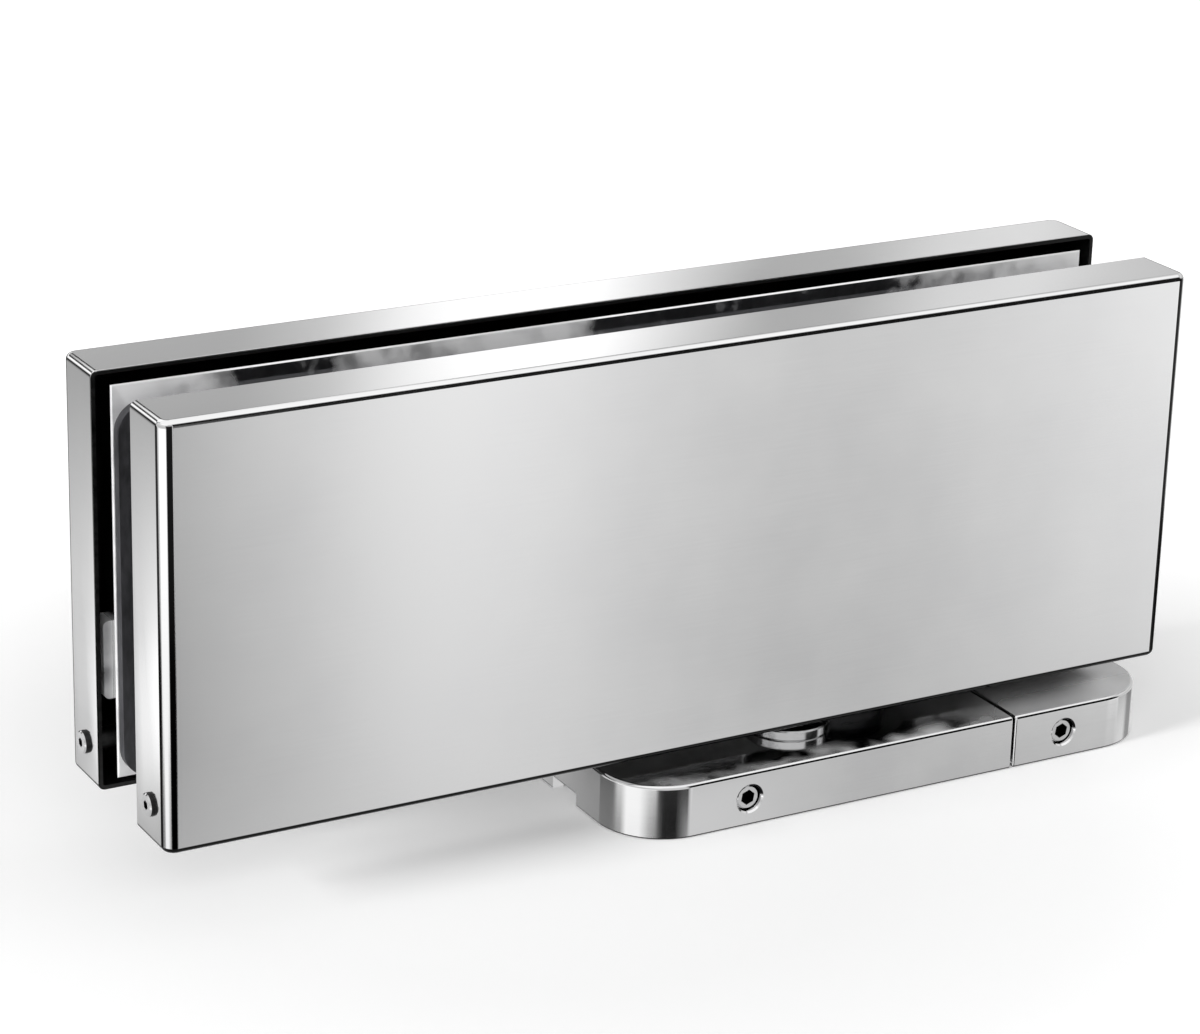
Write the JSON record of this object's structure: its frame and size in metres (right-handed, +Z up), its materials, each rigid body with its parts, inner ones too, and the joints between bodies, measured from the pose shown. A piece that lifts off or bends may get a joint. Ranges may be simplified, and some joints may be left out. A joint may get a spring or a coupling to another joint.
{
  "type": "hydraulic hinge",
  "caption": "Hydraulic patch hinge for a glass door: polished hollow covers clamp the glass corner and a cam and sprung piston close the door on a low floor base.",
  "frame": {"origin": "on the spindle's axis, at floor level", "axes": "+X along the closed door towards its heel, +Y towards the rear cover, +Z up"},
  "size_m": [0.2016, 0.049, 0.0889],
  "materials": {
    "polished_steel": "mirror polished stainless steel",
    "screw_steel": "polished stainless screws",
    "dark_screw_steel": "blackened steel",
    "floor_plate_steel": "ground steel plate",
    "spindle_steel": "hardened and ground steel",
    "bearing_bronze": "turned bronze",
    "housing_iron": "machined and plated iron",
    "piston_steel": "honed steel",
    "valve_brass": "turned brass",
    "spring_steel": "oil tempered spring wire",
    "seal_rubber": "black seal rubber",
    "plate_metal": "bright machined aluminium",
    "gasket_fibre": "dark grey pressed fibre"
  },
  "bodies": {
    "floor_base": {"base_plate": "floor_plate_steel", "base_cover_long": "polished_steel", "base_cover_short": "polished_steel", "base_side_screws": "screw_steel", "base_top_screws": "screw_steel", "cam_spindle": "spindle_steel", "thrust_washer": "spindle_steel"},
    "door_leaf": {"housing": "housing_iron", "bearing_cap": "housing_iron", "shaft_seal": "seal_rubber", "lower_bush": "bearing_bronze", "upper_bush": "bearing_bronze", "end_plug_left": "housing_iron", "end_plug_right": "housing_iron", "plug_orings": "seal_rubber", "spring_left": "spring_steel", "spring_right": "spring_steel", "front_clamp_plate": "plate_metal", "rear_clamp_plate": "plate_metal", "front_gasket": "gasket_fibre", "rear_gasket": "gasket_fibre", "clamp_screws": "dark_screw_steel", "front_cover": "polished_steel", "rear_cover": "polished_steel", "cover_screws": "screw_steel"},
    "piston": {"yoke_piston": "piston_steel", "piston_seals": "seal_rubber", "roller_pins": "spindle_steel", "check_ball": "spindle_steel"},
    "left_roller": {"roller_left": "spindle_steel"},
    "right_roller": {"roller_right": "spindle_steel"},
    "closing_screw": {"closing_valve": "valve_brass"},
    "latching_screw": {"latching_valve": "valve_brass"}
  },
  "joints": [
    {"name": "door_swing", "type": "hinge", "parent": "floor_base", "child": "door_leaf", "pos_m": [0, 0, 0.04], "axis": [0, 0, 1], "range_deg": [-90, 90], "stiffness_Nm_per_rad": 8},
    {"name": "piston_slide", "type": "slide", "parent": "door_leaf", "child": "piston", "axis": [1, 0, 0], "range_m": [-0.004, 0.004], "deforming": ["spring_left", "spring_right"]},
    {"name": "left_roller_spin", "type": "hinge", "parent": "piston", "child": "left_roller", "pos_m": [-0.014, 0, 0.04], "axis": [0, 0, 1], "continuous": true},
    {"name": "right_roller_spin", "type": "hinge", "parent": "piston", "child": "right_roller", "pos_m": [0.014, 0, 0.04], "axis": [0, 0, 1], "continuous": true},
    {"name": "closing_speed", "type": "hinge", "parent": "door_leaf", "child": "closing_screw", "pos_m": [0.057, 0, 0.0591], "axis": [1, 0, 0], "range_deg": [-180, 180]},
    {"name": "latching_speed", "type": "hinge", "parent": "door_leaf", "child": "latching_screw", "pos_m": [0.057, 0, 0.0202], "axis": [1, 0, 0], "range_deg": [-180, 180]}
  ],
  "couplings": [
    {"joint": "piston_slide", "follows": "door_swing", "m_per_rad": 0.0025465}
  ]
}
